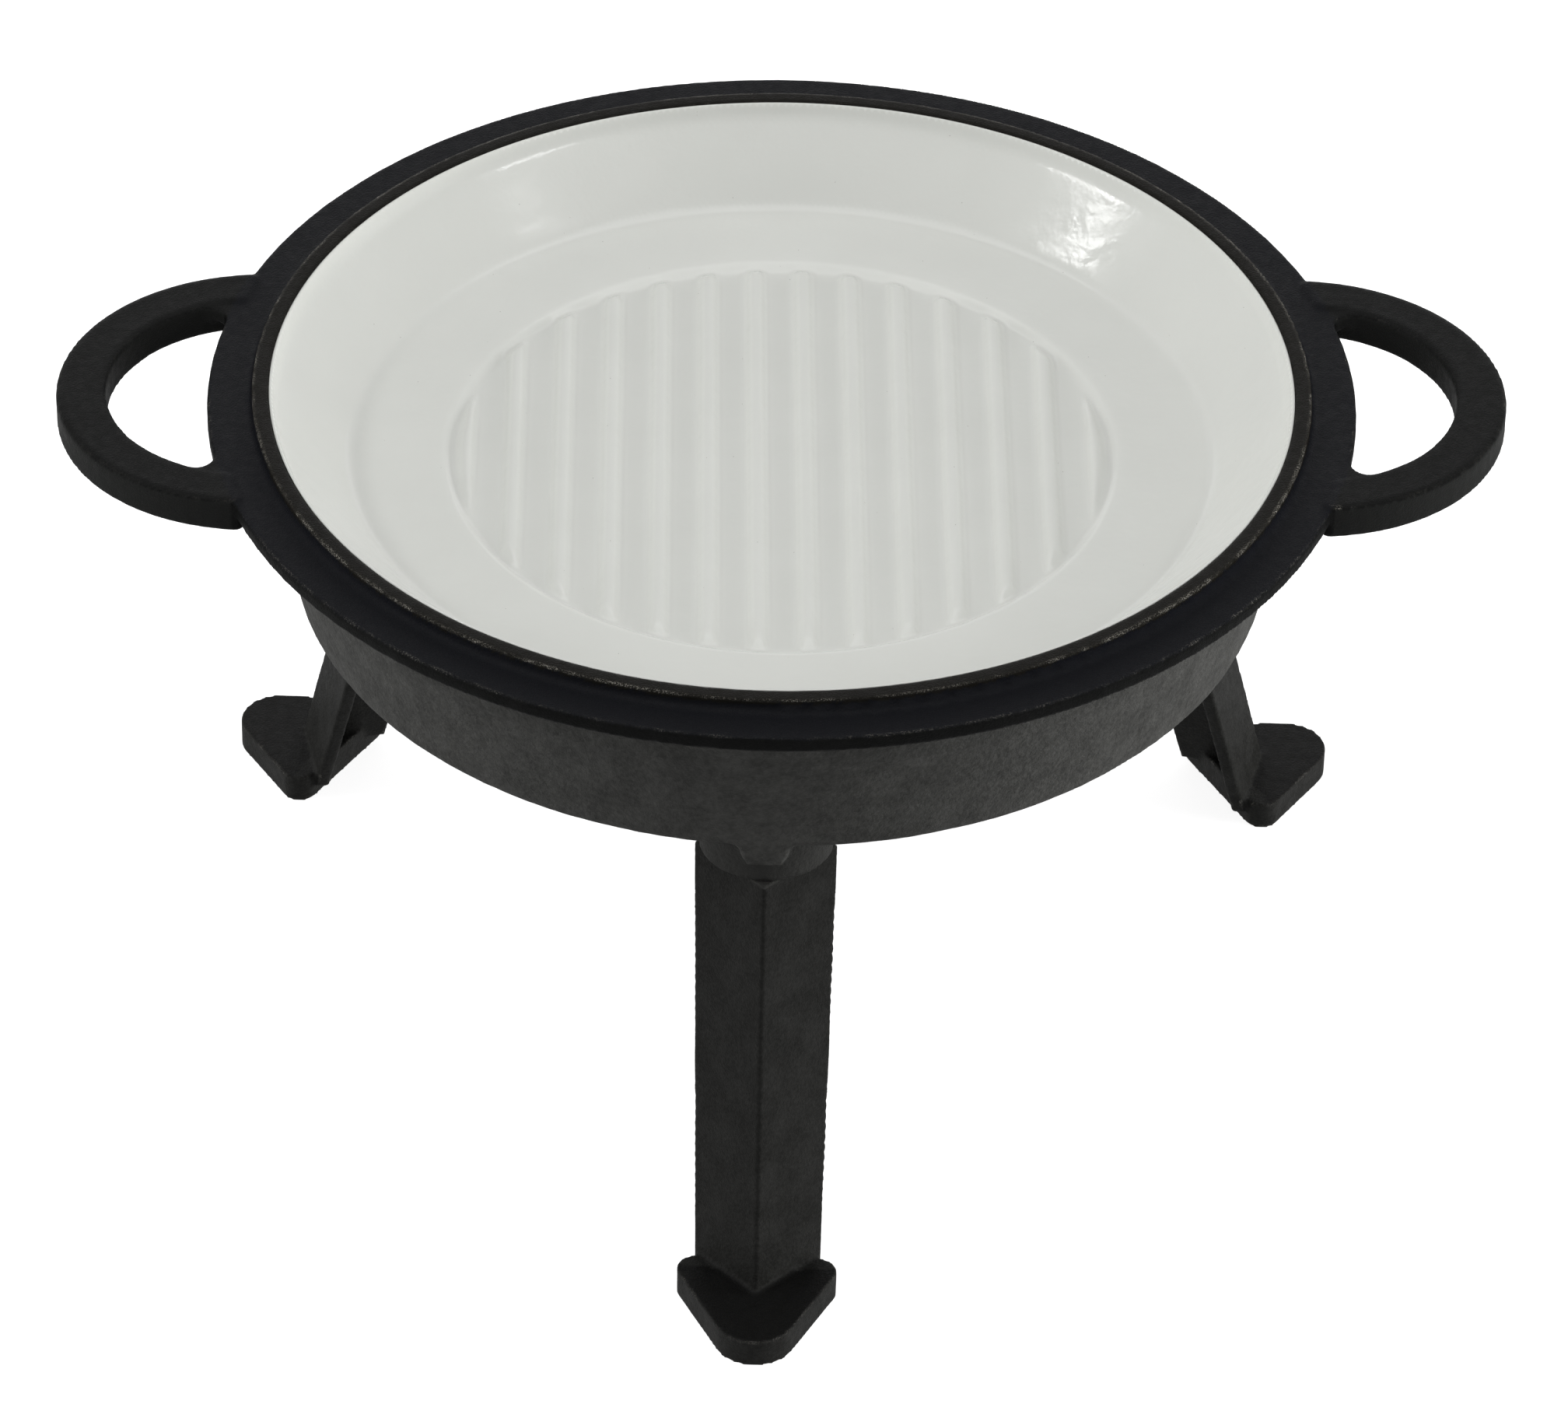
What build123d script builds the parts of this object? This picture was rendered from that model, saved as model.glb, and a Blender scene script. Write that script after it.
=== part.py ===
from build123d import *
import os
from math import sqrt

# A campfire grill pan: a cast-iron pan with a white enamelled ribbed dish rests on a deeper cast
# bowl, which stands on three cast legs that screw into bosses under it.
# Millimetres. Z is up, the floor is Z = 0, and the pan's axis is the Z axis. The front leg is at -Y
# and the two loop handles are on the X axis.

# --- driving dimensions: grill pan ---
PAN_TURN = 2.1
FLANGE_RADIUS = 165.6
FLANGE_TOP = 203.2
FLANGE_THICKNESS = 4.8
FLANGE_EDGE = 1.1
LIP_INNER_RADIUS = 148.0
LIP_OUTER_RADIUS = 152.7
LIP_TOP = 206.5
LIP_FILLET = 2.4
LIP_ROUND = 0.5
DISH_FLOOR_RADIUS = 95.5
DISH_FLOOR = 179.6
DISH_FLOOR_CORNER = 1.5
DISH_STEP = 2.4
DISH_LEDGE = 181.6
DISH_CREASE_RADIUS = 125.5
DISH_CREASE = 182.4
DISH_CREASE_FILLET = 6.0
RIM_BREAK_RADIUS = 146.4
RIM_BREAK = 202.0
RIM_BREAK_ROUND = 6.0
SHOULDER_RADIUS = 147.0
SHOULDER = 197.2
UNDERSIDE = 173.8
UNDERSIDE_RADIUS = 124.0
UNDERSIDE_CORNER = 9.0
ENAMEL = 0.8
ENAMEL_TOP = 206.4

# --- driving dimensions: grill ribs ---
RIB_COUNT = 14
RIB_PITCH = 14.1
RIB_BASE = 6.4
RIB_CREST = 2.0
RIB_HEIGHT = 2.6
RIB_ROUND = 0.7
RIB_SINK = 0.5
RIB_END_SLOPE = 3.4

# --- driving dimensions: handles ---
HANDLE_CENTRE = 151.4
HANDLE_OUTER = 57.8
HANDLE_INNER = 43.4
HANDLE_TOP = 203.8
HANDLE_BOTTOM = 193.1
HANDLE_ROOT_RADIUS = 162.0
HANDLE_ROOT_ROUND = 2.6
HANDLE_CORNER = 5.0
HANDLE_GAP_CORNER = 5.5
HANDLE_EDGE = 1.5

# --- driving dimensions: bowl ---
BOWL_TOP_RADIUS = 151.6
BOWL_MOUTH_RADIUS = 147.7
BOWL_MOUTH_DEPTH = 5.0
BOWL_SLOPE = 0.195
BOWL_STEP = 180.2
BOWL_STEP_DEPTH = 0.3
BOWL_BOTTOM = 145.1
BOWL_CORNER = 5.0
BOWL_THICKNESS = 4.6
BOWL_INNER_CORNER = 5.0
BOWL_FLOOR = 150.1
BOWL_RIM_ROUND = 0.6

# --- driving dimensions: leg bosses ---
LEG_ANGLES = {"front": -90.0, "rear_left": 150.0, "rear_right": 30.0}
BOSS_CENTRE = 118.0
BOSS_RADIUS = 19.3
BOSS_BOTTOM = 130.7
BOSS_TOP = 147.0
BOSS_EDGE = 0.6
GUSSET_TOP_WIDTH = 20.4
GUSSET_BOTTOM_WIDTH = 10.3
GUSSET_BOTTOM = 138.6
GUSSET_TOP = 152.0
GUSSET_BACK = 128.0
GUSSET_ROUND = 2.0
GUSSET_LEAN = 0.4

# --- driving dimensions: legs ---
RIDGE_TOP_RADIUS = 140.0
RIDGE_FOOT_RADIUS = 173.0
LEG_TOP_WIDTH = 41.0
LEG_FOOT_WIDTH = 36.8
LEG_FLANGE = 4.2
LEG_RIDGE_ROUND = 0.8
LEG_LONG_EDGES = 6
WEB_THICKNESS = 10.0
FOOT_CENTRE = 170.5
FOOT_TOE = 11.5
FOOT_TOE_RADIUS = 12.0
FOOT_HEEL = 8.0
FOOT_HEEL_SPREAD = 17.5
FOOT_HEEL_RADIUS = 5.4
FOOT_THICKNESS = 9.0

# --- driving dimensions: leg fastening, M12 x 1.75 ---
THREAD_PITCH = 1.75
THREAD_CREST_SHARE = 0.2
THREAD_ROOT_SHARE = 0.6
STUD_RADIUS = 5.9
STUD_ROOT_RADIUS = 5.1
STUD_SHANK_RADIUS = 6.0
STUD_ENGAGED = 10.5
STUD_EMBEDDED = 9.0
STUD_CHAMFER = 1.0
BOSS_HOLE_RADIUS = 6.0
BOSS_HOLE_DEPTH = 12.4
WASHER_OUTER = 10.5
WASHER_INNER = 6.2
WASHER_THICKNESS = 2.5
WASHER_GAP = 1.6
WASHER_GAP_TURN = 20.0
WASHER_POCKET = 10.8

# --- how far a cutting shape reaches past what it cuts, and how near counts as the same place ---
SPARE = 10.0
NEAR = 0.1

FLANGE_BOTTOM = FLANGE_TOP - FLANGE_THICKNESS
FLANGE_MIDDLE = FLANGE_TOP - FLANGE_THICKNESS / 2
LEG_LEAN = (RIDGE_FOOT_RADIUS - RIDGE_TOP_RADIUS) / (BOSS_BOTTOM - FOOT_THICKNESS)
WEB_BOTTOM = BOSS_BOTTOM - WEB_THICKNESS
POCKET_FLOOR = BOSS_BOTTOM - WASHER_THICKNESS
STUD_BOTTOM = BOSS_BOTTOM - STUD_EMBEDDED
STUD_TOP = BOSS_BOTTOM + STUD_ENGAGED
BOSS_AXIS = Axis((0, -BOSS_CENTRE, 0), (0, 0, 1))
BOSS_SECTION = Plane(origin=(0, -BOSS_CENTRE, 0), x_dir=(1, 0, 0), z_dir=(0, -1, 0))


def save(part, name):
    part.label = name
    export_step(part, f"parts/{name}.step")


def outline(rows):
    """Draw a closed outline in the open line, from rows of (radius, height, corner radius)."""
    FilletPolyline(*[row[:2] for row in rows], radius=[row[2] for row in rows], close=True)


def wall_radius(height):
    """Outer radius of the bowl's tapering wall, carried on below its corner."""
    return BOWL_TOP_RADIUS - BOWL_SLOPE * (FLANGE_BOTTOM - height)


def ridge_radius(height):
    """How far the ridge of a leg stands from the pan's axis."""
    return RIDGE_FOOT_RADIUS - LEG_LEAN * (height - FOOT_THICKNESS)


def dish_hollow(skin, top):
    """The hollow of the dish up to the height top, taken in by skin on every side."""
    above = LIP_TOP + SPARE
    lean = (LIP_INNER_RADIUS - RIM_BREAK_RADIUS) / (LIP_TOP - RIM_BREAK)
    with BuildPart() as hollow:
        with BuildSketch(Plane.XZ):
            with BuildLine():
                outline([
                    (-SPARE, DISH_FLOOR - ENAMEL, 0),
                    (DISH_FLOOR_RADIUS, DISH_FLOOR - ENAMEL, DISH_FLOOR_CORNER),
                    (DISH_FLOOR_RADIUS + DISH_STEP, DISH_LEDGE - ENAMEL, DISH_STEP),
                    (DISH_CREASE_RADIUS, DISH_CREASE - ENAMEL, DISH_CREASE_FILLET),
                    (RIM_BREAK_RADIUS, RIM_BREAK, RIM_BREAK_ROUND),
                    (LIP_INNER_RADIUS + lean * (above - LIP_TOP), above, 0),
                    (-SPARE, above, 0),
                ])
            make_face()
            if skin:
                offset(amount=-skin)
            with Locations((LIP_OUTER_RADIUS, top / 2)):
                Rectangle(2 * LIP_OUTER_RADIUS, top, mode=Mode.INTERSECT)
        revolve(axis=Axis.Z)
    return hollow.part


def ribs(base_width, crest_width, foot):
    """Parallel bars along Y with rounded crests, their ends sloping down at the edge of the floor."""
    crest = foot + RIB_HEIGHT
    end = DISH_FLOOR_RADIUS
    with BuildPart() as bars:
        with BuildSketch(Plane.XZ) as profile:
            with GridLocations(RIB_PITCH, RIB_PITCH, RIB_COUNT, 1):
                Polygon(
                    (-base_width / 2, foot - RIB_SINK),
                    (base_width / 2, foot - RIB_SINK),
                    (base_width / 2, foot),
                    (crest_width / 2, crest),
                    (-crest_width / 2, crest),
                    (-base_width / 2, foot),
                    align=None,
                )
            fillet(profile.vertices().group_by(Axis.Y)[-1], RIB_ROUND)
        extrude(amount=end, both=True)
        with BuildSketch(Plane.XZ):
            with BuildLine():
                outline([
                    (0, foot - RIB_SINK, 0),
                    (end, foot - RIB_SINK, 0),
                    (end, foot, 0),
                    (end - RIB_END_SLOPE, crest, 0),
                    (end - RIB_END_SLOPE, crest + SPARE, 0),
                    (0, crest + SPARE, 0),
                ])
            make_face()
        revolve(axis=Axis.Z, mode=Mode.INTERSECT)
    return bars.part


def handle_rings():
    """Both loop handles: a flat bar bent round on each side, thicker than the flange it joins."""
    with BuildPart() as rings:
        with BuildSketch(Plane.XY.offset(HANDLE_BOTTOM)):
            with Locations((HANDLE_CENTRE, 0), (-HANDLE_CENTRE, 0)):
                Circle(HANDLE_OUTER)
                Circle(HANDLE_INNER, mode=Mode.SUBTRACT)
            Circle(HANDLE_ROOT_RADIUS, mode=Mode.SUBTRACT)
        extrude(amount=HANDLE_TOP - HANDLE_BOTTOM)
        fillet(rings.edges().filter_by(Axis.Z), HANDLE_ROOT_ROUND)
        levels = rings.edges().filter_by(GeomType.CIRCLE).group_by(Axis.Z)
        fillet(levels[0] + levels[-1], HANDLE_EDGE)
    return rings.part


def flange_with_handles():
    """The flange as a plate, blended in plan into both handles, with a finger gap inside each."""
    with BuildSketch() as gaps:
        with Locations((HANDLE_CENTRE, 0), (-HANDLE_CENTRE, 0)):
            Circle(HANDLE_INNER)
        Circle(FLANGE_RADIUS, mode=Mode.SUBTRACT)
        fillet(gaps.vertices(), HANDLE_GAP_CORNER)
    rings = handle_rings()
    with BuildPart() as plate:
        with BuildSketch(Plane.XY.offset(FLANGE_BOTTOM)) as plan:
            Circle(FLANGE_RADIUS)
            with Locations((HANDLE_CENTRE, 0), (-HANDLE_CENTRE, 0)):
                Circle(HANDLE_OUTER - 2 * HANDLE_EDGE)
            fillet(plan.vertices(), HANDLE_CORNER)
            add(gaps.sketch_local, mode=Mode.SUBTRACT)
        extrude(amount=FLANGE_THICKNESS)
        levels = plate.edges().filter_by(GeomType.CIRCLE).group_by(Axis.Z)
        fillet(levels[0] + levels[-1], FLANGE_EDGE)
        add(rings)
    return plate.part


def angle_section(height, width):
    """Horizontal section of a leg: a right-angled V with its ridge outward."""
    half = width / 2
    slant = LEG_FLANGE / sqrt(2)
    ridge = -ridge_radius(height)
    Polygon(
        (0, ridge),
        (half, ridge + half),
        (half - slant, ridge + half + slant),
        (0, ridge + 2 * slant),
        (-half + slant, ridge + half + slant),
        (-half, ridge + half),
        align=None,
    )


os.makedirs("parts", exist_ok=True)

# --- the pan's casting: dish, flange, lip and handles ---
cast_hollow = dish_hollow(0, LIP_TOP + SPARE)
cast_ribs = ribs(RIB_BASE - 2 * ENAMEL, RIB_CREST, DISH_FLOOR - ENAMEL)
flange = flange_with_handles()

with BuildPart() as grill_pan:
    add(flange)
    with BuildSketch(Plane.XZ):
        with BuildLine():
            outline([
                (0, UNDERSIDE, 0),
                (UNDERSIDE_RADIUS, UNDERSIDE, UNDERSIDE_CORNER),
                (SHOULDER_RADIUS, SHOULDER, 0),
                (SHOULDER_RADIUS, FLANGE_MIDDLE, 0),
                (LIP_OUTER_RADIUS, FLANGE_MIDDLE, 0),
                (LIP_OUTER_RADIUS, LIP_TOP, LIP_ROUND),
                (0, LIP_TOP, 0),
            ])
        make_face()
    revolve(axis=Axis.Z)
    circles = grill_pan.edges().filter_by(GeomType.CIRCLE)
    top_circles = circles.filter_by_position(Axis.Z, FLANGE_TOP - NEAR, FLANGE_TOP + NEAR)
    fillet(top_circles.filter_by(lambda edge: abs(edge.radius - LIP_OUTER_RADIUS) < NEAR), LIP_FILLET)
    add(cast_hollow, mode=Mode.SUBTRACT)
    add(cast_ribs)
save(Rot(0, 0, PAN_TURN) * grill_pan.part, "grill_pan")

# --- the enamel lining: a skin over the dish and its ribs ---
enamel_back = dish_hollow(0, ENAMEL_TOP)
enamel_front = dish_hollow(ENAMEL, ENAMEL_TOP)
enamel_ribs = ribs(RIB_BASE, RIB_CREST + ENAMEL, DISH_FLOOR)
rib_cores = ribs(RIB_BASE - 2 * ENAMEL, RIB_CREST, DISH_FLOOR - ENAMEL)

with BuildPart() as pan_enamel:
    add(enamel_back)
    add(enamel_front, mode=Mode.SUBTRACT)
    add(enamel_ribs)
    add(rib_cores, mode=Mode.SUBTRACT)
save(Rot(0, 0, PAN_TURN) * pan_enamel.part, "pan_enamel")

# --- the bowl: rim band, tapering wall, bosses and gussets ---
with BuildPart() as gusset:
    with BuildSketch(Plane.XZ.offset(GUSSET_BACK)) as face:
        Polygon(
            (-GUSSET_BOTTOM_WIDTH / 2, GUSSET_BOTTOM),
            (GUSSET_BOTTOM_WIDTH / 2, GUSSET_BOTTOM),
            (GUSSET_TOP_WIDTH / 2, GUSSET_TOP),
            (-GUSSET_TOP_WIDTH / 2, GUSSET_TOP),
            align=None,
        )
        fillet(face.vertices().group_by(Axis.Y)[0], GUSSET_ROUND)
    extrude(amount=BOWL_TOP_RADIUS - GUSSET_BACK)
    with BuildSketch(Plane.XZ):
        with BuildLine():
            outline([
                (0, BOSS_BOTTOM, 0),
                (wall_radius(BOSS_BOTTOM) + GUSSET_LEAN, BOSS_BOTTOM, 0),
                (wall_radius(GUSSET_TOP) - GUSSET_LEAN, GUSSET_TOP, 0),
                (0, GUSSET_TOP, 0),
            ])
        make_face()
    revolve(axis=Axis.Z, mode=Mode.INTERSECT)

with BuildPart() as bowl:
    with BuildSketch(Plane.XZ):
        with BuildLine():
            outline([
                (0, BOWL_BOTTOM, 0),
                (wall_radius(BOWL_BOTTOM), BOWL_BOTTOM, BOWL_CORNER),
                (wall_radius(BOWL_STEP), BOWL_STEP, 0),
                (wall_radius(BOWL_STEP) + BOWL_STEP_DEPTH, BOWL_STEP + BOWL_STEP_DEPTH, 0),
                (BOWL_TOP_RADIUS + BOWL_STEP_DEPTH, FLANGE_BOTTOM, BOWL_RIM_ROUND),
                (BOWL_MOUTH_RADIUS, FLANGE_BOTTOM, BOWL_RIM_ROUND),
                (BOWL_MOUTH_RADIUS, FLANGE_BOTTOM - BOWL_MOUTH_DEPTH, 0),
                (wall_radius(BOWL_FLOOR) - BOWL_THICKNESS, BOWL_FLOOR, BOWL_INNER_CORNER),
                (0, BOWL_FLOOR, 0),
            ])
        make_face()
    revolve(axis=Axis.Z)
    with BuildSketch(Plane.XY.offset(BOSS_BOTTOM)):
        with PolarLocations(BOSS_CENTRE, len(LEG_ANGLES), start_angle=LEG_ANGLES["front"]):
            Circle(BOSS_RADIUS)
    extrude(amount=BOSS_TOP - BOSS_BOTTOM)
    chamfer(bowl.edges().filter_by(GeomType.CIRCLE).group_by(Axis.Z)[0], BOSS_EDGE)
    with PolarLocations(0, len(LEG_ANGLES)):
        add(gusset.part)
    with BuildSketch(Plane.XY.offset(BOSS_BOTTOM)):
        with PolarLocations(BOSS_CENTRE, len(LEG_ANGLES), start_angle=LEG_ANGLES["front"]):
            Circle(BOSS_HOLE_RADIUS)
    extrude(amount=BOSS_HOLE_DEPTH, mode=Mode.SUBTRACT)
save(bowl.part, "bowl")

# --- one leg, at the front ---
with BuildPart() as leg:
    with BuildSketch(Plane.XY.offset(FOOT_THICKNESS / 2)):
        angle_section(FOOT_THICKNESS / 2, LEG_FOOT_WIDTH)
    with BuildSketch(Plane.XY.offset(BOSS_BOTTOM)):
        angle_section(BOSS_BOTTOM, LEG_TOP_WIDTH)
    loft()
    fillet(leg.edges().sort_by(SortBy.LENGTH)[-LEG_LONG_EDGES:], LEG_RIDGE_ROUND)
    with BuildSketch(Plane.XY):
        with Locations((0, -FOOT_CENTRE - FOOT_TOE)):
            Circle(FOOT_TOE_RADIUS)
        with Locations((0, FOOT_HEEL - FOOT_CENTRE)):
            with GridLocations(2 * FOOT_HEEL_SPREAD, 0, 2, 1):
                Circle(FOOT_HEEL_RADIUS)
        make_hull()
    extrude(amount=FOOT_THICKNESS)
    with BuildSketch(Plane.XY.offset(WEB_BOTTOM)):
        with Locations((0, -BOSS_CENTRE)):
            Circle(BOSS_RADIUS)
        Polygon(
            (0, -RIDGE_TOP_RADIUS),
            (RIDGE_TOP_RADIUS, 0),
            (0, RIDGE_TOP_RADIUS),
            (-RIDGE_TOP_RADIUS, 0),
            align=None,
            mode=Mode.INTERSECT,
        )
    extrude(amount=WEB_THICKNESS)
    with BuildSketch(Plane.XY.offset(POCKET_FLOOR)):
        with Locations((0, -BOSS_CENTRE)):
            Circle(WASHER_POCKET)
    extrude(amount=WASHER_THICKNESS, mode=Mode.SUBTRACT)
    with BuildSketch(Plane.XY.offset(STUD_BOTTOM)):
        with Locations((0, -BOSS_CENTRE)):
            Circle(STUD_SHANK_RADIUS)
    extrude(amount=STUD_EMBEDDED, mode=Mode.SUBTRACT)

# --- its stud, with the thread drawn as rings ---
thread_turns = int((STUD_TOP - POCKET_FLOOR - STUD_CHAMFER) / THREAD_PITCH)
thread_side = []
for turn in range(thread_turns):
    turn_foot = POCKET_FLOOR + turn * THREAD_PITCH
    thread_side.append((STUD_RADIUS, turn_foot))
    thread_side.append((STUD_RADIUS, turn_foot + THREAD_CREST_SHARE * THREAD_PITCH))
    thread_side.append((STUD_ROOT_RADIUS, turn_foot + THREAD_ROOT_SHARE * THREAD_PITCH))

with BuildPart() as stud:
    with BuildSketch(BOSS_SECTION):
        with BuildLine():
            Polyline(
                (0, STUD_BOTTOM),
                (STUD_SHANK_RADIUS, STUD_BOTTOM),
                (STUD_SHANK_RADIUS, POCKET_FLOOR),
                *thread_side,
                (STUD_RADIUS, STUD_TOP - STUD_CHAMFER),
                (STUD_RADIUS - STUD_CHAMFER, STUD_TOP),
                (0, STUD_TOP),
                close=True,
            )
        make_face()
    revolve(axis=BOSS_AXIS)

# --- its split spring washer, drawn flat as it is when tight ---
with BuildPart() as lock_washer:
    with BuildSketch(Plane.XY.offset(POCKET_FLOOR)):
        with Locations((0, -BOSS_CENTRE)):
            Circle(WASHER_OUTER)
            Circle(WASHER_INNER, mode=Mode.SUBTRACT)
        with Locations((0, -BOSS_CENTRE + WASHER_OUTER)):
            Rectangle(
                WASHER_GAP,
                2 * (WASHER_OUTER - WASHER_INNER),
                rotation=WASHER_GAP_TURN,
                mode=Mode.SUBTRACT,
            )
    extrude(amount=WASHER_THICKNESS)

for place, angle in LEG_ANGLES.items():
    turn = angle - LEG_ANGLES["front"]
    save(leg.part.rotate(Axis.Z, turn), f"leg_{place}")
    save(stud.part.rotate(Axis.Z, turn), f"stud_{place}")
    save(lock_washer.part.rotate(Axis.Z, turn), f"lock_washer_{place}")
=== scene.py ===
"""Looks of the campfire grill pan, built round its CAD frame. Metres, unless a comment says otherwise."""

import math

import bpy
import numpy as np
from mathutils import Matrix, Vector, noise
from mathutils.geometry import delaunay_2d_cdt


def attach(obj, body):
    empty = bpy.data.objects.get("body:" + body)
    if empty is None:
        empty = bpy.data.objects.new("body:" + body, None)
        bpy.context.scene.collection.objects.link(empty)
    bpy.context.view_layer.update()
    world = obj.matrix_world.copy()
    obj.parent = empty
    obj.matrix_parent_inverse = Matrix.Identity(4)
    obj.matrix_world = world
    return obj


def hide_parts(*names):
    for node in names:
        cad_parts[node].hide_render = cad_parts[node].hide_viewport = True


MM = 0.001
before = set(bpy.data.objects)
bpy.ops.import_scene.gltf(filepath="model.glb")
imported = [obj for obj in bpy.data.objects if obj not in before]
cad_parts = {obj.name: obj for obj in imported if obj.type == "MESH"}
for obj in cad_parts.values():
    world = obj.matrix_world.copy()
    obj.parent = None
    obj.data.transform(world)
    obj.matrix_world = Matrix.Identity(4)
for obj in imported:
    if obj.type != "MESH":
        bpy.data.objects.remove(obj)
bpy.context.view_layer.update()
scene = bpy.context.scene

# --- the dish, as in the CAD but for the crest of its ribs ---
ENAMEL = 0.8 * MM
DISH_FLOOR = 179.6 * MM
DISH_FLOOR_RADIUS = 95.5 * MM
ENAMEL_TOP = 206.4 * MM
PAN_TURN = 2.1  # degrees
# Corners of the cast hollow in section, as (radius, height, rounding) in millimetres.
DISH_ROWS = (
    (0.0, 178.8, 0.0),
    (95.5, 178.8, 1.5),
    (97.9, 180.8, 2.4),
    (125.5, 181.6, 6.0),
    (146.4, 202.0, 6.0),
    (148.0, 206.5, 0.0),
)
RIB_COUNT = 14
RIB_PITCH = 14.1 * MM
RIB_BASE = 6.4 * MM
RIB_CREST = 2.8 * MM  # wider than in the CAD, because the rounding of the enamel narrows it
RIB_HEIGHT = 2.6 * MM
RIB_END_SLOPE = 3.4 * MM

# --- the iron pieces, as in the CAD ---
LIP_RADIUS = 152.7 * MM
FLANGE_RADIUS = 165.6 * MM
FLANGE_TOP = 203.2 * MM
BOWL_BOTTOM = 145.1 * MM
BOSS_CENTRE = 118.0 * MM
LEG_ANGLES = (-90, 150, 30)  # degrees
LEG_TOP = 130.7 * MM

# --- the iron's own meshes ---
PAN_VOXEL, BOWL_VOXEL, LEG_VOXEL = 1.0 * MM, 1.5 * MM, 0.9 * MM
SMOOTHING = 1  # rounds
SMOOTH_STEPS = (0.5, -0.52)  # one step in, one step out, as shares of the way to the average
SEED_STEPS = (7.31, 3.17, 5.71)  # how far one more seed moves the noise along x, y and z
EDGE_TURN = 0.2  # the turn of the surface that counts as a full edge, in voxels
EDGE_ROUNDS = 2
HANDLE_SMOOTHING = 14  # rounds
HANDLE_START, HANDLE_FADE = 1 * MM, 4 * MM  # where it starts beyond the flange, and how soon it is full
WALL_LINE = 180.2 * MM
WALL_LINE_HEIGHT, WALL_LINE_WIDTH = 0.4 * MM, 1.1 * MM
WALL_LINE_RADIUS = 146.5 * MM  # the line is raised outside this radius only
# Unevenness of each skin, as rows of (feature size, height).
PAN_SKIN = ((30 * MM, 0.1 * MM), (6 * MM, 0.04 * MM))
BOWL_SKIN = ((25 * MM, 0.15 * MM), (5 * MM, 0.08 * MM))
LEG_SKIN = ((20 * MM, 0.12 * MM), (4 * MM, 0.05 * MM))
ENAMEL_SKIN = ((26 * MM, 0.05 * MM), (9 * MM, 0.03 * MM))
PAN_SEED, BOWL_SEED, LEG_SEED, ENAMEL_SEED = 1, 5, 10, 40
LEG_SEED_STEP = 3

# --- where the iron is worn or tinted, with painted edge glints, shade and light among them ---
RIM_BAND = 2 * MM  # half the width of the bands of full wear round the lip and the flange
TOP_BAND, LIT_CROWN_BAND = 0.5 * MM, 0.6 * MM  # how far under the flange's or a leg's top still counts as it
# Upright handle faces beyond this get a lighter tint, which is painted side light.
LIT_FLANK_START = 1 * MM  # beyond the flange
BOSS_REACH = 19.6 * MM  # a little over the bosses' radius
FOOT_TOP = 10 * MM  # a little over the feet's thickness
PAD_RADIUS = 163 * MM  # the feet's pads lie outside this radius
UPRIGHT, LEVEL = 0.5, 0.8  # a face is upright if its normal rises by less, and level if by more
# Shares of the worn colour, which is partly bare iron and partly painted edge glints.
PAN_WEAR_AND_GLINT, BOWL_WEAR_AND_GLINT, LEG_WEAR_AND_GLINT = 0.6, 0.5, 0.35  # shares of full wear

# --- the enamel's mesh ---
SKIN_THICKNESS = 0.7 * MM
PROFILE_STEP = 0.2 * MM
BEND_POINTS = 13
GRID_REACH, GRID_CELL = 104 * MM, 0.3 * MM
GRID_BLUR = 2.1  # cells
GRID_RADIUS = 102 * MM  # heights come from the grid inside this radius, from the profile outside it
# Lines along the ribs at these distances from a rib's middle, in millimetres, and on its other side too.
RIB_LINES = (-7.05, -5, -3.9, -3.3, -2.8, -2.2, -1.6, -1.1, -0.5)
LINE_REACH, LINE_STEP = 97, 1.7  # millimetres
LINE_RADIUS = 93.6 * MM
# Rings round the dish floor, as radii in millimetres. The wall's rings follow at even steps.
FLOOR_RINGS = (94.1, 94.8, 95.4, 96.0, 96.6, 97.3, 98.1, 99.2, 101, 103.5, 107, 111, 115, 118.5)
WALL_RINGS_START, WALL_RING_STEP = 121 * MM, 1.1 * MM
RING_POINTS = 420
FILL_HULL, FILL_TOLERANCE = 0, 1e-7  # triangles over the whole hull of the plan


# --- mesh helpers ---
def linked(name, mesh):
    piece = bpy.data.objects.new(name, mesh)
    scene.collection.objects.link(piece)
    return piece


def applied(piece):
    """Swap the piece's mesh for the one its modifiers make."""
    graph = bpy.context.evaluated_depsgraph_get()
    made = bpy.data.meshes.new_from_object(piece.evaluated_get(graph), depsgraph=graph)
    piece.modifiers.clear()
    piece.data = made
    made.name = piece.name
    return piece


def places(mesh):
    found = np.empty(len(mesh.vertices) * 3, np.float32)
    mesh.vertices.foreach_get("co", found)
    return found.reshape(-1, 3).astype(float)


def normals(mesh):
    found = np.empty(len(mesh.vertices) * 3, np.float32)
    mesh.vertex_normals.foreach_get("vector", found)
    return found.reshape(-1, 3).astype(float)


def place(mesh, points):
    mesh.vertices.foreach_set("co", points.astype(np.float32).ravel())
    mesh.update()


def ends(mesh):
    found = np.empty(len(mesh.edges) * 2, np.int32)
    mesh.edges.foreach_get("vertices", found)
    return found.reshape(-1, 2)


def averaged(values, pairs):
    """Each vertex's mean over its neighbours, of one or several columns."""
    table = values.reshape(len(values), -1)
    count = np.bincount(pairs.ravel(), minlength=len(values))
    total = np.empty_like(table)
    for column in range(table.shape[1]):
        one = np.bincount(pairs[:, 0], weights=table[pairs[:, 1], column], minlength=len(values))
        two = np.bincount(pairs[:, 1], weights=table[pairs[:, 0], column], minlength=len(values))
        total[:, column] = (one + two) / np.maximum(count, 1)
    return total.reshape(values.shape)


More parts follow.
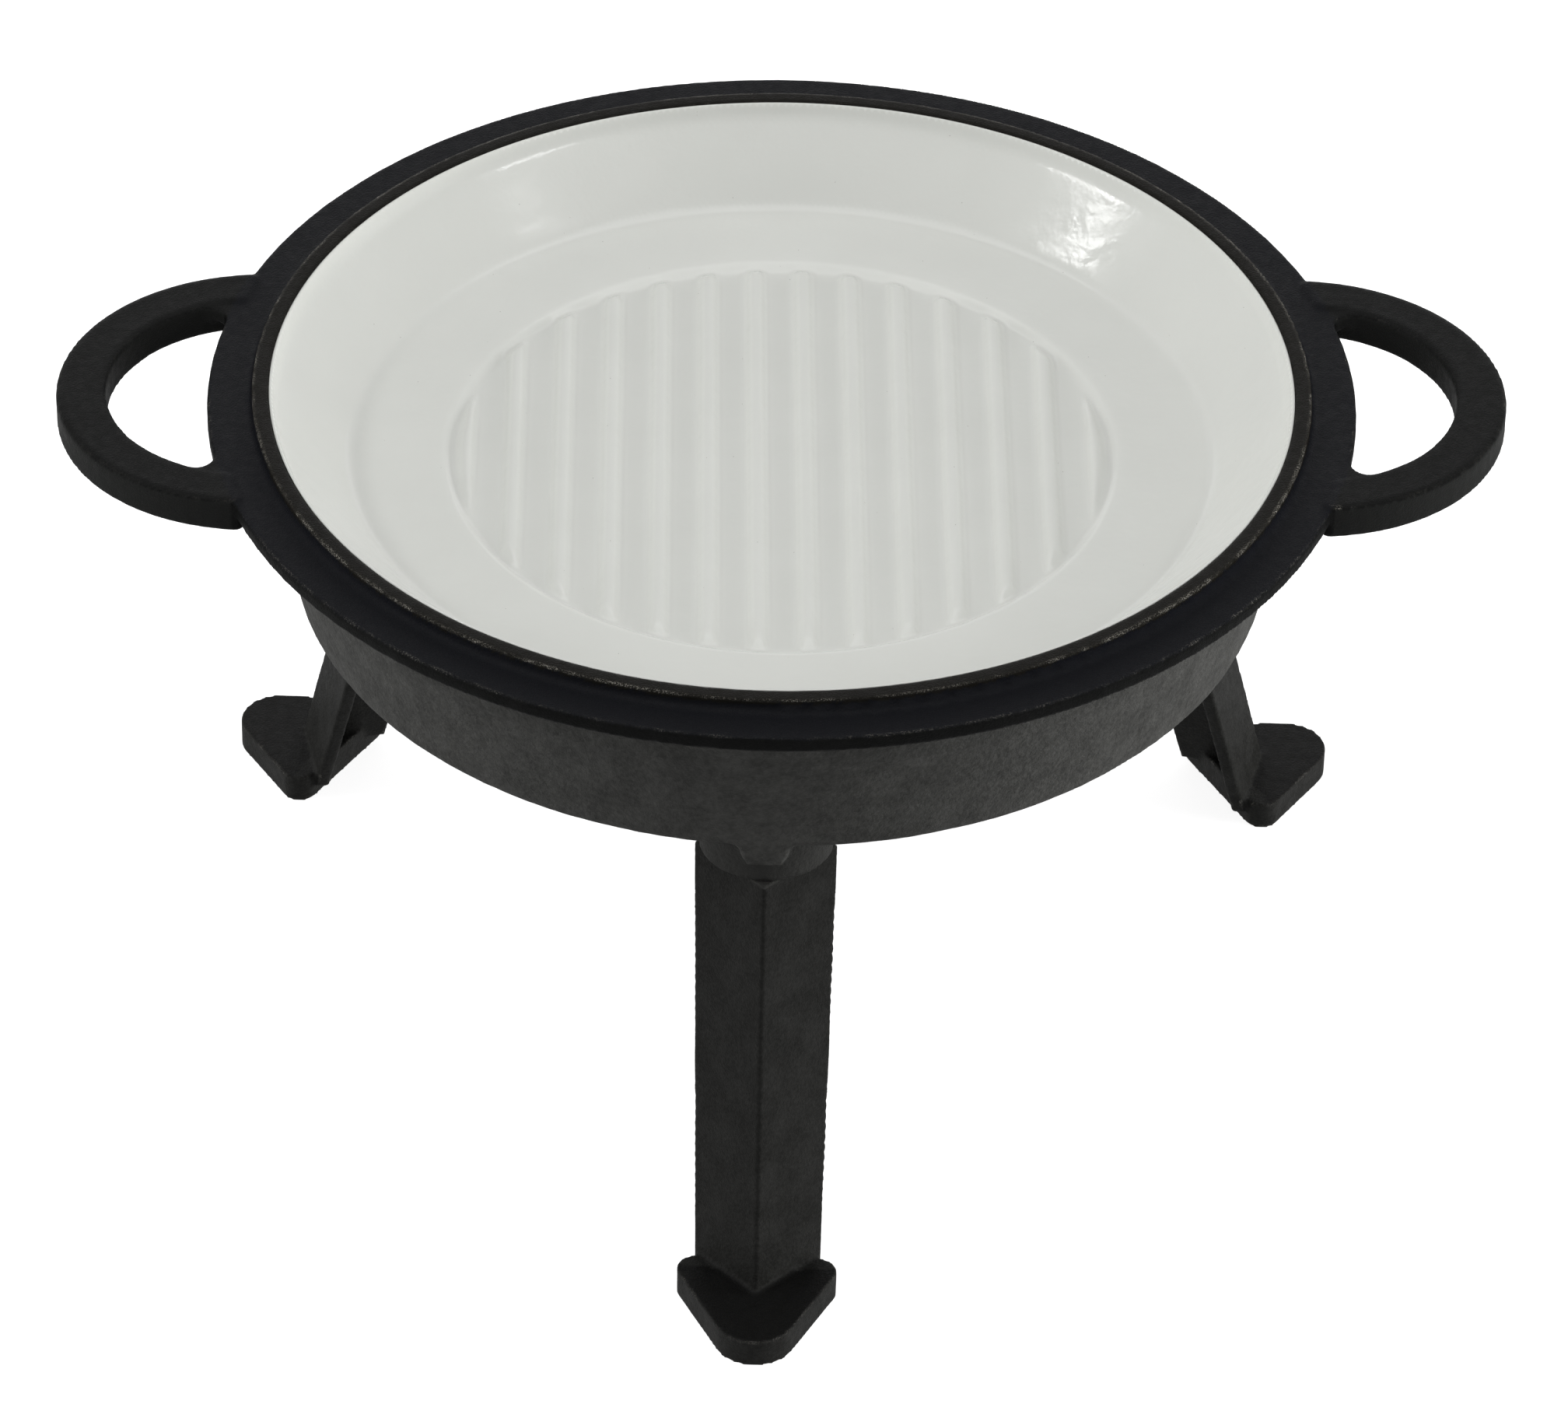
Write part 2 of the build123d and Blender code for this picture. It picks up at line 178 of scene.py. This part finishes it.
def relax(mesh, rounds, share=1.0):
    """Smooth the mesh without shrinking it, by alternate steps in and out, where share is 1."""
    pairs = ends(mesh)
    points = places(mesh)
    for _ in range(rounds):
        for step in SMOOTH_STEPS:
            points += step * share * (averaged(points, pairs) - points)
    place(mesh, points)


def soften_handles(mesh):
    """Round the handles' edges more than the rest, as the cast handles are."""
    points = places(mesh)
    beyond = np.hypot(points[:, 0], points[:, 1]) - FLANGE_RADIUS
    relax(mesh, HANDLE_SMOOTHING, np.clip((beyond - HANDLE_START) / HANDLE_FADE, 0, 1)[:, None])


def grains(points, size, seed):
    """Smooth noise from -1 to 1 at each point, of that feature size."""
    shift = Vector([seed * step for step in SEED_STEPS])
    scaled = points / size
    return np.array([noise.noise(Vector(point) + shift) for point in scaled])


def roughen(mesh, rows, seed):
    """Push the surface in and out by noise: rows of (feature size, height)."""
    points = places(mesh)
    push = np.zeros(len(points))
    for number, (size, height) in enumerate(rows):
        push += height * grains(points, size, seed + number)
    place(mesh, points + normals(mesh) * push[:, None])


def attribute(mesh, name, values):
    """Store one number for each vertex, for the materials to read."""
    layer = mesh.attributes.new(name, "FLOAT", "POINT")
    layer.data.foreach_set("value", values.astype(np.float32))


def mark_edges(mesh, reference, rounds):
    """Store how sharply the surface turns outward, from 0 to 1 where the turn reaches the reference."""
    pairs = ends(mesh)
    points = places(mesh)
    turn = -np.sum((averaged(points, pairs) - points) * normals(mesh), axis=1)
    for _ in range(rounds):
        turn = 0.5 * turn + 0.5 * averaged(turn, pairs)
    attribute(mesh, "edge", np.clip(turn / reference, 0, 1))


def lessen_wear_and_glint(mesh, keep):
    """Scale the stored edge values by keep, one number for each vertex."""
    layer = mesh.attributes["edge"]
    found = np.empty(len(mesh.vertices), np.float32)
    layer.data.foreach_get("value", found)
    layer.data.foreach_set("value", (found * keep).astype(np.float32))


def casting(node, body, voxel, rows, seed):
    """A copy of the CAD node remeshed finely, with soft edges and an uneven cast skin."""
    piece = linked(node + "_casting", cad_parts[node].data.copy())
    remesh = piece.modifiers.new("voxels", "REMESH")
    remesh.mode = "VOXEL"
    remesh.voxel_size = voxel
    remesh.use_smooth_shade = True
    fit = piece.modifiers.new("fit", "SHRINKWRAP")
    fit.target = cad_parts[node]
    fit.wrap_method = "NEAREST_SURFACEPOINT"
    applied(piece)
    mark_edges(piece.data, EDGE_TURN * voxel, EDGE_ROUNDS)
    relax(piece.data, SMOOTHING)
    roughen(piece.data, rows, seed)
    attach(piece, body)
    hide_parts(node)
    return piece


# --- shader helpers ---
class Shader:
    """A material's node tree, with short calls for the nodes used here."""

    def __init__(self, name):
        self.material = bpy.data.materials.new(name)
        self.material.use_nodes = True
        self.tree = self.material.node_tree
        self.surface = self.tree.nodes["Principled BSDF"]
        self.spot = self.node("ShaderNodeTexCoord").outputs["Object"]

    def node(self, kind, **settings):
        made = self.tree.nodes.new(kind)
        for name, value in settings.items():
            setattr(made, name, value)
        return made

    def join(self, source, target):
        self.tree.links.new(source, target)

    def feed(self, value, target):
        """Link a socket, or set a number or colour."""
        if isinstance(value, bpy.types.NodeSocket):
            self.join(value, target)
        else:
            target.default_value = value

    def noise(self, size, detail, roughness=0.5, stretch=(1, 1, 1)):
        """Smooth noise from 0 to 1, with features of that size."""
        made = self.node("ShaderNodeTexNoise")
        where = self.node("ShaderNodeMapping")
        self.join(self.spot, where.inputs["Vector"])
        where.inputs["Scale"].default_value = stretch
        self.join(where.outputs["Vector"], made.inputs["Vector"])
        made.inputs["Scale"].default_value = 1 / size
        made.inputs["Detail"].default_value = detail
        made.inputs["Roughness"].default_value = roughness
        return made.outputs["Fac"]

    def cells(self, size):
        """Distance to the nearest of many scattered points, in sizes."""
        made = self.node("ShaderNodeTexVoronoi", feature="F1")
        self.join(self.spot, made.inputs["Vector"])
        made.inputs["Scale"].default_value = 1 / size
        return made.outputs["Distance"]

    def stored(self, name):
        """A number that the mesh stores for each vertex."""
        return self.node("ShaderNodeAttribute", attribute_name=name).outputs["Fac"]

    def maths(self, operation, first, second):
        made = self.node("ShaderNodeMath", operation=operation)
        self.feed(first, made.inputs[0])
        self.feed(second, made.inputs[1])
        return made.outputs[0]

    def span(self, value, low, high, start=0.0, end=1.0):
        """Map low..high onto start..end, smoothly and clamped."""
        made = self.node("ShaderNodeMapRange", interpolation_type="SMOOTHSTEP")
        self.join(value, made.inputs["Value"])
        made.inputs["From Min"].default_value = low
        made.inputs["From Max"].default_value = high
        made.inputs["To Min"].default_value = start
        made.inputs["To Max"].default_value = end
        return made.outputs["Result"]

    def blend(self, amount, first, second):
        """A colour part of the way from first to second."""
        made = self.node("ShaderNodeMix", data_type="RGBA")
        self.feed(amount, made.inputs["Factor"])
        self.feed(first, made.inputs["A"])
        self.feed(second, made.inputs["B"])
        return made.outputs["Result"]

    def bump(self, height, depth, below=None):
        """A normal tilted by the height socket, on top of the normal below."""
        made = self.node("ShaderNodeBump")
        self.join(height, made.inputs["Height"])
        made.inputs["Distance"].default_value = depth
        if below is not None:
            self.join(below, made.inputs["Normal"])
        return made.outputs["Normal"]

    def finish(self, colour, roughness, normal, specular, metallic=0.0):
        self.feed(colour, self.surface.inputs["Base Color"])
        self.feed(roughness, self.surface.inputs["Roughness"])
        self.join(normal, self.surface.inputs["Normal"])
        self.feed(specular, self.surface.inputs["Specular IOR Level"])
        self.feed(metallic, self.surface.inputs["Metallic"])
        return self.material


def rgb(red, green, blue):
    return (red, green, blue, 1.0)


MOTTLE_SHARE, FINE_SHARE = 0.45, 0.55
REGION_SHARE = 0.85
FINE_SIZE, PIT_SIZE, GRAIN_HEIGHT = 1.5, 4, 0.45  # times the grain
SMOOTHER, ROUGHER = 0.05, 0.07  # how far the roughness strays each way


def iron(name, dark, light, worn_and_glint, grain, pit_depth, roughness, shine, regions):
    """Cast iron: mottled colour, grain and pits, with bare bright spots along its edges, partly worn iron
    and partly painted glints.

    The regions are rows of (stored number, colour) for the parts that are coloured apart; some of these
    tints paint shade or light.
    """
    shader = Shader(name)
    mottle = shader.span(shader.noise(9 * MM, detail=4, roughness=0.6), low=0.35, high=0.7)
    fine = shader.span(shader.noise(FINE_SIZE * grain, detail=4, roughness=0.7), low=0.35, high=0.65)
    mottle_part = shader.maths("MULTIPLY", mottle, MOTTLE_SHARE)
    fine_part = shader.maths("MULTIPLY", fine, FINE_SHARE)
    colour = shader.blend(shader.maths("ADD", mottle_part, fine_part), dark, light)
    for region, tint in regions:
        colour = shader.blend(shader.maths("MULTIPLY", shader.stored(region), REGION_SHARE), colour, tint)
    # Bright speckled spots along convex edges: partly bare worn iron, partly painted glints of light on
    # the edges.
    speckle = shader.span(shader.noise(0.35 * MM, detail=3, roughness=0.75), low=0.5, high=0.62)
    edge = shader.span(shader.stored("edge"), low=0.28, high=0.72)
    patches = shader.span(shader.noise(8 * MM, detail=3, roughness=0.6), low=0.4, high=0.62, start=0.12)
    wear_and_glint = shader.maths("MULTIPLY", shader.maths("MULTIPLY", edge, speckle), patches)
    colour = shader.blend(wear_and_glint, colour, worn_and_glint)
    polish = shader.span(shader.noise(3 * MM, detail=3, roughness=0.6), low=0.3, high=0.7,
                         start=roughness - SMOOTHER, end=roughness + ROUGHER)
    pits = shader.span(shader.cells(PIT_SIZE * grain), low=0.08, high=0.3)
    normal = shader.bump(pits, pit_depth)
    normal = shader.bump(shader.noise(grain, detail=5, roughness=0.62), GRAIN_HEIGHT * grain, normal)
    return shader.finish(colour, polish, normal, shine)


def dress(piece, material):
    piece.data.materials.clear()
    piece.data.materials.append(material)


# --- the enamelled dish ---
def rounded(rows):
    """Points along a (radius, height) line in millimetres, its corners rounded."""
    corners = [Vector(row[:2]) for row in rows]
    line = [corners[0]]
    for number in range(1, len(rows) - 1):
        corner, radius = corners[number], rows[number][2]
        back = (corners[number - 1] - corner).normalized()
        ahead = (corners[number + 1] - corner).normalized()
        half = back.angle(ahead) / 2
        reach = radius / math.tan(half)
        centre = corner + (back + ahead).normalized() * (radius / math.sin(half))
        start = corner + back * reach - centre
        turn = start.angle_signed(corner + ahead * reach - centre)
        for step in np.linspace(0, 1, BEND_POINTS):
            line.append(centre + Matrix.Rotation(-turn * step, 2) @ start)
    line.append(corners[-1])
    return np.array([tuple(point) for point in line])


def dish_profile():
    """The enamel's face as (radius, height), closely spaced, in metres."""
    line = rounded(DISH_ROWS) * MM
    along = np.concatenate([[0], np.cumsum(np.hypot(*np.diff(line, axis=0).T))])
    even = np.arange(0, along[-1], PROFILE_STEP)
    line = np.stack([np.interp(even, along, line[:, 0]), np.interp(even, along, line[:, 1])], 1)
    way = np.gradient(line, axis=0)
    way /= np.linalg.norm(way, axis=1)[:, None]
    face = line + ENAMEL * np.stack([-way[:, 1], way[:, 0]], 1)
    return face[face[:, 1] < ENAMEL_TOP]


def rib_height(x):
    """Height of the ribs over the dish floor at x, for an endless rib."""
    reach = np.abs((x / RIB_PITCH) - np.floor(x / RIB_PITCH) - 0.5) * RIB_PITCH
    ramp = (RIB_BASE / 2 - reach) / ((RIB_BASE - RIB_CREST) / 2)
    ramp = np.clip(ramp, 0, 1)
    beyond = np.abs(x) > RIB_COUNT / 2 * RIB_PITCH
    return np.where(beyond, 0, RIB_HEIGHT * ramp)


def blurred(field, spread):
    """The field smoothed by a bell curve whose width is spread cells, cut off at three widths."""
    reach = int(3 * spread + 1)
    bell = np.exp(-0.5 * (np.arange(-reach, reach + 1) / spread) ** 2)
    bell /= bell.sum()
    for axis in (0, 1):
        field = np.apply_along_axis(lambda row: np.convolve(row, bell, "same"), axis, field)
    return field


def floor_field(profile):
    """The dish floor with its ribs as a height grid, rounded as poured enamel rounds it."""
    line = np.arange(-GRID_REACH, GRID_REACH + GRID_CELL / 2, GRID_CELL)
    x, y = np.meshgrid(line, line, indexing="ij")
    radius = np.hypot(x, y)
    height = np.interp(radius, profile[:, 0], profile[:, 1])
    slope = (DISH_FLOOR_RADIUS - radius) * RIB_HEIGHT / RIB_END_SLOPE
    ribs = np.minimum(rib_height(x), np.maximum(slope, 0))
    height = np.maximum(height, DISH_FLOOR + ribs)
    return line, blurred(height, GRID_BLUR)


def sampled(line, field, x, y):
    """Bilinear reading of the height grid."""
    cell = line[1] - line[0]
    u, v = (x - line[0]) / cell, (y - line[0]) / cell
    i, j = u.astype(int), v.astype(int)
    u, v = u - i, v - j
    low = field[i, j] * (1 - v) + field[i, j + 1] * v
    high = field[i + 1, j] * (1 - v) + field[i + 1, j + 1] * v
    return low * (1 - u) + high * u


def dish_plan(profile):
    """Plan points: lines along the ribs on the floor, rings round the wall."""
    across = np.array(RIB_LINES) * MM
    across = np.concatenate([across, [0], -across[1:][::-1]])
    centres = (np.arange(RIB_COUNT) - (RIB_COUNT - 1) / 2) * RIB_PITCH
    columns = (centres[:, None] + across[None, :]).ravel()
    rows = np.arange(-LINE_REACH, LINE_REACH, LINE_STEP) * MM
    x, y = np.meshgrid(columns, rows)
    points = np.stack([x.ravel(), y.ravel()], 1)
    parts = [points[np.hypot(*points.T) < LINE_RADIUS]]
    rings = [ring * MM for ring in FLOOR_RINGS]
    along = np.concatenate([[0], np.cumsum(np.hypot(*np.diff(profile, axis=0).T))])
    start = np.interp(WALL_RINGS_START, profile[:, 0], along)
    rings += list(np.interp(np.arange(start, along[-1], WALL_RING_STEP), along, profile[:, 0]))
    rings.append(profile[-1, 0])
    for number, ring in enumerate(rings):
        turn = (np.arange(RING_POINTS) + 0.5 * (number % 2)) * 2 * math.pi / RING_POINTS
        parts.append(np.stack([ring * np.cos(turn), ring * np.sin(turn)], 1))
    return np.concatenate(parts)


def enamel_dish():
    """The enamel's face as one even skin, in place of the CAD node."""
    profile = dish_profile()
    line, field = floor_field(profile)
    plan = [Vector(point) for point in dish_plan(profile)]
    flat, _, faces, *_ = delaunay_2d_cdt(plan, [], [], FILL_HULL, FILL_TOLERANCE)
    flat = np.array([tuple(point) for point in flat])
    radius = np.hypot(*flat.T)
    height = np.interp(radius, profile[:, 0], profile[:, 1])
    inside = radius < GRID_RADIUS
    height[inside] = sampled(line, field, flat[inside, 0], flat[inside, 1])
    mesh = bpy.data.meshes.new("pan_enamel_skin")
    turn = math.radians(PAN_TURN)
    spin = np.array([[math.cos(turn), math.sin(turn)], [-math.sin(turn), math.cos(turn)]])
    points = np.column_stack([flat @ spin, height])
    mesh.from_pydata(points.tolist(), [], [list(face) for face in faces])
    mesh.update()
    if mesh.polygons[0].normal.z < 0:
        mesh.flip_normals()
    mesh.shade_smooth()
    roughen(mesh, ENAMEL_SKIN, ENAMEL_SEED)
    piece = linked("pan_enamel_skin", mesh)
    skin = piece.modifiers.new("skin", "SOLIDIFY")
    skin.thickness = SKIN_THICKNESS
    skin.offset = -1
    applied(piece)
    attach(piece, "pan")
    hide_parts("pan_enamel")
    return piece


def enamel_material():
    """Glossy white enamel, a little wavy, with a few dark specks."""
    shader = Shader("glossy_white_enamel")
    tint = shader.span(shader.noise(30 * MM, detail=3), low=0.3, high=0.7)
    colour = shader.blend(tint, rgb(0.705, 0.715, 0.68), rgb(0.72, 0.73, 0.695))
    clear = shader.span(shader.cells(6 * MM), low=0.012, high=0.03)
    colour = shader.blend(clear, rgb(0.3, 0.29, 0.26), colour)
    polish = shader.span(shader.noise(14 * MM, detail=3), low=0.3, high=0.7, start=0.12, end=0.2)
    normal = shader.bump(shader.noise(5 * MM, detail=2), 0.12 * MM)
    normal = shader.bump(shader.noise(1.6 * MM, detail=2), 0.02 * MM, normal)
    return shader.finish(colour, polish, normal, specular=0.5)


def steel_material():
    """Plain steel with fine marks along the stud, for the studs and the spring washers."""
    shader = Shader("plain_steel")
    colour = shader.blend(shader.noise(2 * MM, detail=3), rgb(0.33, 0.33, 0.34), rgb(0.5, 0.5, 0.5))
    marks = shader.noise(1 * MM, detail=3, roughness=0.6, stretch=(1, 1, 8))
    polish = shader.span(marks, low=0.3, high=0.7, start=0.25, end=0.45)
    normal = shader.bump(shader.noise(0.6 * MM, detail=3), 0.02 * MM)
    return shader.finish(colour, polish, normal, specular=0.5, metallic=1.0)


# --- pieces ---
def mark_pan(mesh):
    """Store where the lip ring, the flange's flat and the handles' sides are, which are tinted apart; the
    handles' upright sides are painted lighter as side light.
    """
    points = places(mesh)
    radius = np.hypot(points[:, 0], points[:, 1])
    high = points[:, 2] > FLANGE_TOP - TOP_BAND
    rim = (np.abs(radius - LIP_RADIUS) < RIM_BAND) | (np.abs(radius - FLANGE_RADIUS) < RIM_BAND)
    # Full wear and painted glint along the top edges of the lip and the flange, less elsewhere.
    lessen_wear_and_glint(mesh, np.where(high & rim, 1.0, PAN_WEAR_AND_GLINT))
    # The handles' upright sides are marked for a lighter tint, which stands in for the side light on
    # them.
    lit_flank = (np.abs(normals(mesh)[:, 2]) < UPRIGHT) & (radius > FLANGE_RADIUS + LIT_FLANK_START)
    attribute(mesh, "lit_flank", lit_flank.astype(float))
    attribute(mesh, "lip", (high & (radius < LIP_RADIUS)).astype(float))
    attribute(mesh, "plate", (high & (radius > LIP_RADIUS) & (radius < FLANGE_RADIUS)).astype(float))


def mark_boss_shade(mesh):
    """Store which part of the bowl is the round bosses under it, which are painted darker as shade under
    the bowl.
    """
    points = places(mesh)
    near = np.zeros(len(points))
    for angle in np.radians(LEG_ANGLES):
        x, y = BOSS_CENTRE * math.cos(angle), BOSS_CENTRE * math.sin(angle)
        near[np.hypot(points[:, 0] - x, points[:, 1] - y) < BOSS_REACH] = 1
    attribute(mesh, "boss_shade", near * (points[:, 2] < BOWL_BOTTOM))


def raise_wall_line(mesh):
    """Raise the soft line that runs round the bowl's wall under its rim band."""
    points = places(mesh)
    radius = np.hypot(points[:, 0], points[:, 1])
    push = WALL_LINE_HEIGHT * np.exp(-((points[:, 2] - WALL_LINE) / WALL_LINE_WIDTH) ** 2)
    push *= radius > WALL_LINE_RADIUS
    points[:, :2] *= (1 + push / np.maximum(radius, MM))[:, None]
    place(mesh, points)


def mark_leg(mesh):
    """Store the top of the foot pad, painted darkest as shade under the pan, and the top of the leg,
    painted lighter as light on a fillet there.
    """
    points = places(mesh)
    height, facing = points[:, 2], normals(mesh)[:, 2]
    outside = np.hypot(points[:, 0], points[:, 1]) > PAD_RADIUS
    # The foot pads' tops are marked for a near-black tint, which is painted shade under the pan.
    attribute(mesh, "pad_shade", ((height < FOOT_TOP) & (facing > LEVEL) & outside).astype(float))
    # The leg's top is marked for a lighter tint, which is painted light standing in for a lit
    # forward-facing fillet.
    attribute(mesh, "lit_crown", (height > LEG_TOP - LIT_CROWN_BAND).astype(float))
    # Full wear and painted glint on the feet, less up the leg.
    lessen_wear_and_glint(mesh, np.where(height < FOOT_TOP, 1.0, LEG_WEAR_AND_GLINT))


pan = casting("grill_pan", "pan", PAN_VOXEL, PAN_SKIN, PAN_SEED)
soften_handles(pan.data)
mark_pan(pan.data)
dress(pan, iron(
    "satin_black_iron", dark=rgb(0.0025, 0.0027, 0.0025), light=rgb(0.0058, 0.006, 0.0058),
    worn_and_glint=rgb(0.24, 0.228, 0.20), grain=0.6 * MM, pit_depth=0.015 * MM, roughness=0.42, shine=0.11,
    # The handles' upright sides get a lighter tint: painted side light.
    regions=(("lit_flank", rgb(0.0145, 0.015, 0.0142)),
             ("lip", rgb(0.006, 0.0052, 0.0036)),
             ("plate", rgb(0.0036, 0.004, 0.006)))))

bowl = casting("bowl", "bowl", BOWL_VOXEL, BOWL_SKIN, BOWL_SEED)
lessen_wear_and_glint(bowl.data, BOWL_WEAR_AND_GLINT)
raise_wall_line(bowl.data)
mark_boss_shade(bowl.data)
dress(bowl, iron(
    "rough_black_iron", dark=rgb(0.037, 0.037, 0.0348), light=rgb(0.070, 0.070, 0.066),
    worn_and_glint=rgb(0.14, 0.135, 0.125), grain=1.3 * MM, pit_depth=0.08 * MM, roughness=0.52, shine=0.15,
    # The bosses' darker tint is painted shade under the bowl.
    regions=(("boss_shade", rgb(0.026, 0.026, 0.0245)),)))

leg_iron = iron(
    "matt_black_iron", dark=rgb(0.0085, 0.0085, 0.0077), light=rgb(0.020, 0.020, 0.0188),
    worn_and_glint=rgb(0.12, 0.115, 0.105), grain=0.7 * MM, pit_depth=0.03 * MM, roughness=0.48, shine=0.15,
    # The foot pads' near-black tint is painted shade under the pan.
    regions=(("pad_shade", rgb(0.0035, 0.0035, 0.0033)),
             # The leg tops' lighter tint is painted light.
             ("lit_crown", rgb(0.05, 0.05, 0.047))))
for number, place_name in enumerate(("front", "rear_left", "rear_right")):
    leg = casting("leg_" + place_name, "leg_" + place_name, LEG_VOXEL, LEG_SKIN,
                  LEG_SEED + LEG_SEED_STEP * number)
    mark_leg(leg.data)
    dress(leg, leg_iron)

dress(enamel_dish(), enamel_material())
steel = steel_material()
for name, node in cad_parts.items():
    if name.startswith(("stud_", "lock_washer_")):
        dress(node, steel)


# --- floor, light and camera ---
FLOOR_REACH = 6.0
WALL_REACH, WALL_HEIGHT, WALL_SIDES = 5.6, 8.0, 96
FLOOR_GLOW = 0.85
WORLD_GLOW = 0.34
PAN_MIDDLE, LEG_MIDDLE, LOW_MIDDLE = (0, 0, 0.18), (0, 0, 0.15), (0, 0, 0.14)
# Name, place, what it is aimed at, width and height, watts, and whether shiny faces mirror it.
LIGHTS = (
    ("overhead", (0, 0.35, 2.4), PAN_MIDDLE, (2.4, 2.0), 17.5, True),
    ("left_box", (-2.0, -0.35, 1.9), PAN_MIDDLE, (0.8, 0.25), 9, True),
    ("right_box", (1.9, -0.75, 2.1), PAN_MIDDLE, (0.8, 0.25), 5.5, True),
    ("backdrop_glow", (0, 3.2, 0.7), PAN_MIDDLE, (4.0, 1.4), 9, True),
    ("left_fill", (-2.4, 0.2, 0.55), LEG_MIDDLE, (1.6, 1.4), 24, False),
    ("right_fill", (2.4, 0.2, 0.55), LEG_MIDDLE, (1.6, 1.4), 32, False),
    ("left_low", (-2.4, 0.0, 0.14), LOW_MIDDLE, (1.6, 0.24), 18, False),
    ("right_low", (2.4, 0.0, 0.14), LOW_MIDDLE, (1.6, 0.24), 50, False),
    ("front_fill", (0, -2.4, 1.6), PAN_MIDDLE, (1.6, 1.0), 8, False),
)
CAMERA_SPOT = Vector((0.03821, -1.848313, 1.495848))
CAMERA_TURN = (0.0195623, 0.6510473, 0.0161044)  # azimuth, rise and roll, in radians
CAMERA_LENS, CAMERA_SENSOR = 179.338, 36.0  # millimetres


def stage_piece(name, points, faces, material):
    """A piece of the studio, which lights nothing and isn't mirrored by the part."""
    mesh = bpy.data.meshes.new(name)
    mesh.from_pydata(points, [], faces)
    piece = linked(name, mesh)
    dress(piece, material)
    piece.visible_diffuse = False
    piece.visible_glossy = False
    return piece


def floor_material():
    shader = Shader("pale_floor")
    tone = shader.blend(shader.noise(0.4, detail=2), rgb(0.5, 0.5, 0.5), rgb(0.52, 0.52, 0.52))
    shader.surface.inputs["Emission Color"].default_value = rgb(1, 1, 1)
    shader.surface.inputs["Emission Strength"].default_value = FLOOR_GLOW
    normal = shader.bump(shader.noise(0.02, detail=2), 0.1 * MM)
    return shader.finish(tone, roughness=0.9, normal=normal, specular=0.0)


def floor(material):
    reach = FLOOR_REACH
    corners = [(-reach, -reach, 0), (reach, -reach, 0), (reach, reach, 0), (-reach, reach, 0)]
    stage_piece("floor", corners, [(0, 1, 2, 3)], material)


def backdrop(material):
    """A pale round wall at the far edge of the floor, seen only by the camera."""
    sides = WALL_SIDES
    turn = np.arange(sides) * 2 * math.pi / sides
    ring = np.stack([WALL_REACH * np.cos(turn), WALL_REACH * np.sin(turn), np.zeros(sides)], 1)
    points = np.concatenate([ring, ring + (0, 0, WALL_HEIGHT)])
    faces = [(n, n + sides, (n + 1) % sides + sides, (n + 1) % sides) for n in range(sides)]
    stage_piece("backdrop", points.tolist(), faces, material).visible_shadow = False


def soft_light(name, spot, aim, size, power, mirrored):
    """A rectangular lamp at the spot, turned to the aim."""
    lamp = bpy.data.lights.new(name, "AREA")
    lamp.shape = "RECTANGLE"
    lamp.size, lamp.size_y = size
    lamp.energy = power
    holder = linked(name, lamp)
    holder.location = spot
    holder.rotation_euler = (Vector(aim) - Vector(spot)).to_track_quat("-Z", "Y").to_euler()
    holder.visible_glossy = mirrored


def camera_axes(azimuth, rise, roll):
    """The camera's side, top and back as a turn: it looks along its back axis, the other way."""
    level = math.cos(rise)
    back = Vector((math.sin(azimuth) * level, -math.cos(azimuth) * level, math.sin(rise)))
    right = Vector((math.cos(azimuth), math.sin(azimuth), 0))
    up = back.cross(right)
    side = right * math.cos(roll) + up * math.sin(roll)
    top = up * math.cos(roll) - right * math.sin(roll)
    return Matrix((side, top, back)).transposed().to_4x4()


pale = floor_material()
floor(pale)
backdrop(pale)
for row in LIGHTS:
    soft_light(*row)
world = bpy.data.worlds.new("studio")
world.use_nodes = True
sky = world.node_tree.nodes["Background"]
sky.inputs["Color"].default_value = rgb(1, 1, 1)
sky.inputs["Strength"].default_value = WORLD_GLOW
scene.world = world
scene.view_settings.view_transform = "Standard"

lens = bpy.data.cameras.new("camera")
lens.sensor_fit = "HORIZONTAL"
lens.sensor_width = CAMERA_SENSOR
lens.lens = CAMERA_LENS
camera = linked("camera", lens)
camera.matrix_world = Matrix.Translation(CAMERA_SPOT) @ camera_axes(*CAMERA_TURN)
scene.camera = camera
